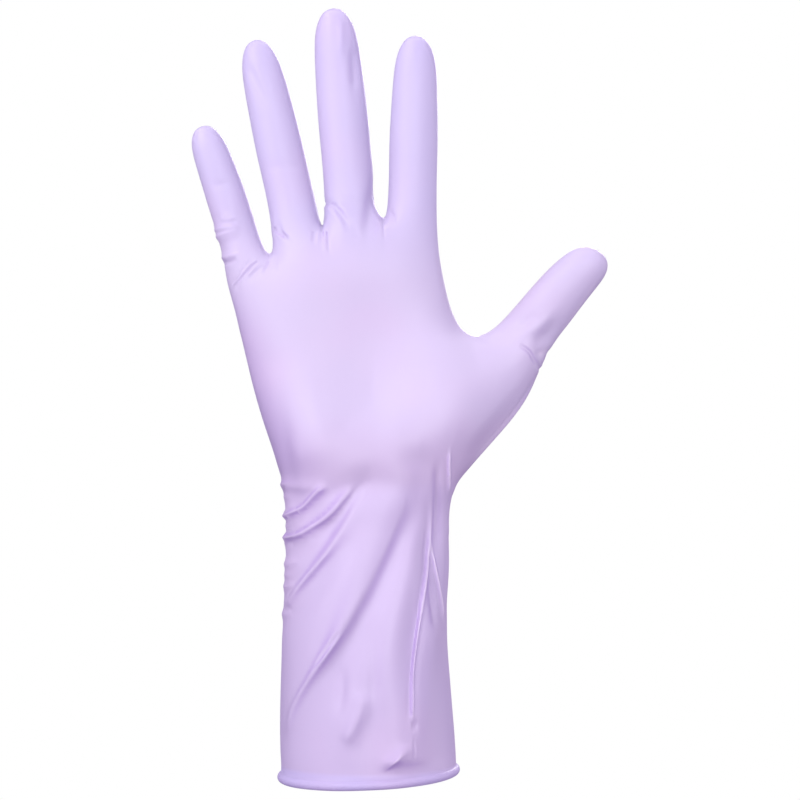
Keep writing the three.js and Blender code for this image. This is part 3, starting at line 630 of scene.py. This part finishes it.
# The bead is the film rolled outwards at the mouth
def rollBead(bm):
    edges = [e for e in bm.edges if e.is_boundary]
    starts = {v: v.co.copy() for e in edges for v in e.verts}
    outwards = {v: Vector((v.normal.x, v.normal.y, 0)).normalized() for v in starts}
    waves = {
        v: glove["rimTilt"] * co.x / glove["rimHalfWidth"]
        + glove["rimSag"] * co.y / glove["rimHalfDepth"]
        + glove["rimLift"]
        for v, co in starts.items()
    }
    radius = glove["beadRadius"]
    first = math.asin(glove["wall"] / 2 / radius)
    origin = {v: v for v in starts}
    for step in range(glove["beadSteps"] + 1):
        made = bmesh.ops.extrude_edge_only(bm, edges=edges)["geom"]
        new = [g for g in made if isinstance(g, bmesh.types.BMVert)]
        known = set(new)
        angle = first + (2 * math.pi - 2 * first) * step / glove["beadSteps"]
        for vert in new:
            others = (e.other_vert(vert) for e in vert.link_edges)
            root = origin[next(v for v in others if v not in known)]
            origin[vert] = root
            centre = starts[root] - outwards[root] * glove["wall"] / 2
            centre.z = waves[root]
            vert.co = centre + outwards[root] * radius * math.sin(angle)
            vert.co.z += radius * math.cos(angle)
        edges = [
            g for g in made
            if isinstance(g, bmesh.types.BMEdge) and all(v in known for v in g.verts)
        ]


print("film: reading the solid")
outer = outerFilm(glove["outerLevels"])
splitForFolds(outer)
print("film: outer face", len(outer.faces), "faces")
shapeFilm(outer)

inner = outerFilm(glove["innerLevels"])
shapeFilm(inner)
places, normals = pointsOf(inner)
movePoints(inner, places - normals * glove["wall"])
bmesh.ops.reverse_faces(inner, faces=inner.faces)
innerMesh = bpy.data.meshes.new("inner")
inner.to_mesh(innerMesh)
inner.free()

print("film: rolling the bead")
outer.normal_update()
rollBead(outer)
outer.from_mesh(innerMesh)
bmesh.ops.bridge_loops(outer, edges=[e for e in outer.edges if e.is_boundary])
bmesh.ops.recalc_face_normals(outer, faces=outer.faces)
if outer.calc_volume(signed=True) < 0:
    bmesh.ops.reverse_faces(outer, faces=outer.faces)
openEdges = sum(1 for e in outer.edges if not e.is_manifold)
triangles = sum(len(f.verts) - 2 for f in outer.faces)
print("film: whole", triangles, "triangles, open edges", openEdges)
film = newObject("glove_film", outer)
for face in film.data.polygons:
    face.use_smooth = True


# Materials

class Socket:
    def __init__(self, tree, output):
        self.tree, self.output = tree, output

    def combine(self, operation, first, second):
        return self.tree.add("ShaderNodeMath", {"operation": operation}, {0: first, 1: second})

    def __add__(self, other):
        return self.combine("ADD", self, other)

    def __radd__(self, other):
        return self.combine("ADD", other, self)

    def __rsub__(self, other):
        return self.combine("SUBTRACT", other, self)

    def __mul__(self, other):
        return self.combine("MULTIPLY", self, other)


class Shader:
    def __init__(self, owner):
        owner.use_nodes = True
        self.nodes = owner.node_tree.nodes
        self.links = owner.node_tree.links
        self.nodes.clear()

    def add(self, kind, settings=None, values=None, output=0):
        node = self.nodes.new(kind)
        for name, value in (settings or {}).items():
            setattr(node, name, value)
        for name, value in (values or {}).items():
            if isinstance(value, Socket):
                self.links.new(value.output, node.inputs[name])
            else:
                node.inputs[name].default_value = value
        return Socket(self, node.outputs[output]) if len(node.outputs) else node

    def mixColour(self, share, first, second):
        return self.add(
            "ShaderNodeMix", {"data_type": "RGBA"}, {0: share, 6: first, 7: second}, output=2
        )

    def ramp(self, value, low, high):
        return self.add(
            "ShaderNodeMapRange",
            {"interpolation_type": "SMOOTHSTEP"},
            {"Value": value, "From Min": low, "From Max": high},
        )

    def cloud(self, place, scale, detail):
        values = {"Vector": place, "Scale": scale, "Detail": detail}
        return self.add("ShaderNodeTexNoise", {}, values)


# Colours of the film. Heights and places are metres in the glove's own frame.
nitrile = {
    "palm": (0.585, 0.52, 0.67, 1),
    # painted shade in the band under the heel of the hand, where the film slopes down to the
    # wrist
    "heel": (0.54, 0.45, 0.605, 1),
    "cuff": (0.58, 0.495, 0.672, 1),
    "finger": (0.55, 0.497, 0.682, 1),
    "tip": (0.534, 0.48, 0.682, 1),
    "bead": (0.53, 0.465, 0.695, 1),
    "paintedEdgeShade": (0.45, 0.355, 0.56, 1),  # painted shade along the palm's outer edge, darkest at the outline
    "warm": (0.64, 0.5, 0.67, 1),  # cloudy patches where the film is stretched
    "paintedFoldShade": (0.4, 0.27, 0.58, 1),  # painted shade in the folds, where the film bends
    "paleAndHighlight": (0.82, 0.73, 0.84, 1),  # paler thin film along a pulled ridge, partly a painted highlight
    "paintedEdgeShadeShare": 0.8,
    "warmShare": 0.35,
    "paintedFoldShadeShare": 0.6,
    "paleAndHighlightShare": 0.6,
    "beadFrom": (0.002, 0.0045),
    "cuffFrom": (0.108, 0.117),
    "heelFrom": (0.118, 0.145),
    "fingersFrom": (0.185, 0.225),
    "tipsFrom": (0.26, 0.29),
    "paintedShadeLean": 0.4,  # how far the palm's outer edge leans out, for each metre up
    "paintedShadeFrom": (0.014, 0.036),
    "paintedShadeLow": (0.1, 0.125),
    "paintedShadeHigh": (0.165, 0.205),
    "patchScale": 20.0,
    "patchFrom": (0.45, 0.75),
    "patchDetail": 2.0,
    "roughness": 0.38,
    "roughnessSpread": 0.12,
    "specular": 0.35,
    "streakScale": (260.0, 260.0, 26.0),
    "streakDetail": 2.0,
    "streakShare": 0.8,
    "grainScale": 1400.0,
    "grainDetail": 3.0,
    "grainShare": 0.6,
    "grainDepth": 0.03 * mm,
    "grainStrength": 0.5,
}


def nitrileMaterial():
    material = bpy.data.materials.new("nitrile")
    shader = Shader(material)
    place = shader.add("ShaderNodeTexCoord", output="Object")
    across = shader.add("ShaderNodeSeparateXYZ", {}, {0: place}, output=0)
    height = shader.add("ShaderNodeSeparateXYZ", {}, {0: place}, output=2)

    def value(name):
        return shader.add("ShaderNodeAttribute", {"attribute_name": name}, output=2)

    def above(name):
        return shader.ramp(height, *nitrile[name])

    # the cuff's colour turns into the painted heel shade, which gives way to the palm's colour
    # higher up
    colour = shader.mixColour(above("cuffFrom"), nitrile["cuff"], nitrile["heel"])
    colour = shader.mixColour(above("heelFrom"), colour, nitrile["palm"])
    # painted shade along the palm's outer edge, between the heel and the fingers' roots
    edge = 1 - shader.ramp(across + height * nitrile["paintedShadeLean"], *nitrile["paintedShadeFrom"])
    edge = edge * above("paintedShadeLow") * (1 - above("paintedShadeHigh"))
    colour = shader.mixColour(edge * nitrile["paintedEdgeShadeShare"], colour, nitrile["paintedEdgeShade"])
    colour = shader.mixColour(above("fingersFrom"), colour, nitrile["finger"])
    colour = shader.mixColour(above("tipsFrom"), colour, nitrile["tip"])
    colour = shader.mixColour(above("beadFrom"), nitrile["bead"], colour)
    patches = shader.cloud(place, nitrile["patchScale"], nitrile["patchDetail"])
    patches = shader.ramp(patches, *nitrile["patchFrom"])
    colour = shader.mixColour(patches * nitrile["warmShare"], colour, nitrile["warm"])
    # painted shade in the folds, darkest where the film bends most
    colour = shader.mixColour(value("foldShadeMask") * nitrile["paintedFoldShadeShare"], colour, nitrile["paintedFoldShade"])
    # paler thin film with a painted highlight along pulled ridges, pleats and loose folds
    colour = shader.mixColour(value("paleAndHighlightMask") * nitrile["paleAndHighlightShare"], colour, nitrile["paleAndHighlight"])

    # the dipped film is drawn out downwards, so its streaks are long and its grain is fine
    stretched = {"Vector": place, "Scale": nitrile["streakScale"]}
    streakPlace = shader.add("ShaderNodeMapping", {}, stretched)
    streaks = shader.cloud(streakPlace, 1.0, nitrile["streakDetail"])
    grain = shader.cloud(place, nitrile["grainScale"], nitrile["grainDetail"])
    relief = {
        "Height": grain * nitrile["grainShare"] + streaks * nitrile["streakShare"],
        "Distance": nitrile["grainDepth"],
        "Strength": nitrile["grainStrength"],
    }
    film = {
        "Base Color": colour,
        "Roughness": nitrile["roughness"] + streaks * nitrile["roughnessSpread"],
        "Specular IOR Level": nitrile["specular"],
        "Normal": shader.add("ShaderNodeBump", {}, relief),
    }
    surface = shader.add("ShaderNodeBsdfPrincipled", {}, film)
    shader.add("ShaderNodeOutputMaterial", {}, {"Surface": surface})
    return material


film.data.materials.append(nitrileMaterial())
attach(film, "root")
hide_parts(glove["node"])


# Studio: a white floor and room, and soft lights in front, above, beside and behind
studio = {
    "floorHeight": -3.6 * mm,
    "floorSize": 6.0,
    "floorSides": 64,
    "white": (1, 1, 1, 1),
    "roomForLight": 0.46,
    "roomTint": (0.86, 0.69, 1.13, 1),
    "lights": (
        # name, place, aimed at, size, watts
        ("front", (0.12, -0.88, 0.238), (0, 0, 0.16), 0.5, 3.7),
        ("upperLeft", (-0.35, -0.4, 0.5), (0, 0, 0.5), 0.3, 1.5),
        ("left", (-0.35, -0.4, 0.3), (0, 0, 0.3), 0.3, 0.54),
        ("upperRight", (0.35, -0.4, 0.5), (0, 0, 0.5), 0.3, 0.42),
        ("lowLeft", (-0.62, -0.55, 0.1), (0, 0, 0.16), 0.5, 0.9),
        ("rimRight", (0.803, 0.142, 0.1), (0, 0, 0.16), 0.5, 0.9),
        ("topRight", (0.375, 0.066, 0.976), (0, 0, 0.16), 0.5, 1.9),
        ("topLeft", (-0.375, 0.066, 0.976), (0, 0, 0.16), 0.5, 1.8),
        ("behind", (0.25, 0.9, 0.6), (0, 0, 0.16), 0.5, 6.0),
    ),
}


def whiteFloor():
    bm = bmesh.new()
    bmesh.ops.create_circle(
        bm, cap_ends=True, segments=studio["floorSides"], radius=studio["floorSize"]
    )
    bmesh.ops.translate(bm, verts=bm.verts, vec=(0, 0, studio["floorHeight"]))
    floor = newObject("floor", bm)
    material = bpy.data.materials.new("floor")
    shader = Shader(material)
    below = shader.add("ShaderNodeNewGeometry", output="Backfacing")
    white = shader.add("ShaderNodeEmission", {}, {"Color": studio["white"], "Strength": 1.0})
    clear = shader.add("ShaderNodeBsdfTransparent")
    both = shader.add("ShaderNodeMixShader", {}, {0: below, 1: white, 2: clear})
    shader.add("ShaderNodeOutputMaterial", {}, {"Surface": both})
    floor.data.materials.append(material)
    floor.visible_diffuse = floor.visible_glossy = floor.visible_shadow = False


def whiteRoom():
    scene.world = bpy.data.worlds.new("room")
    shader = Shader(scene.world)
    seen = shader.add("ShaderNodeBackground", {}, {"Color": studio["white"], "Strength": 1.0})
    tinted = {"Color": studio["roomTint"], "Strength": studio["roomForLight"]}
    fill = shader.add("ShaderNodeBackground", {}, tinted)
    direct = shader.add("ShaderNodeLightPath", output="Is Camera Ray")
    both = shader.add("ShaderNodeMixShader", {}, {0: direct, 1: fill, 2: seen})
    shader.add("ShaderNodeOutputWorld", {}, {"Surface": both})


def softLight(name, place, target, size, watts):
    data = bpy.data.lights.new(name, "AREA")
    data.shape, data.size, data.energy = "SQUARE", size, watts
    light = bpy.data.objects.new(name, data)
    scene.collection.objects.link(light)
    light.location = place
    light.visible_camera = False
    light.rotation_euler = (Vector(target) - Vector(place)).to_track_quat("-Z", "Y").to_euler()


print("studio: floor, room and lights")
whiteFloor()
whiteRoom()
for light in studio["lights"]:
    softLight(*light)

camera = {"place": (0.0119, -1.0, 0.1453), "lens": 115.5, "sensor": 36}
cameraData = bpy.data.cameras.new("camera")
cameraData.lens, cameraData.sensor_width = camera["lens"], camera["sensor"]
cameraObject = bpy.data.objects.new("camera", cameraData)
scene.collection.objects.link(cameraObject)
cameraObject.location = camera["place"]
cameraObject.rotation_euler = (math.pi / 2, 0, 0)
scene.camera = cameraObject
scene.view_settings.view_transform = "Standard"

print("scene: done")
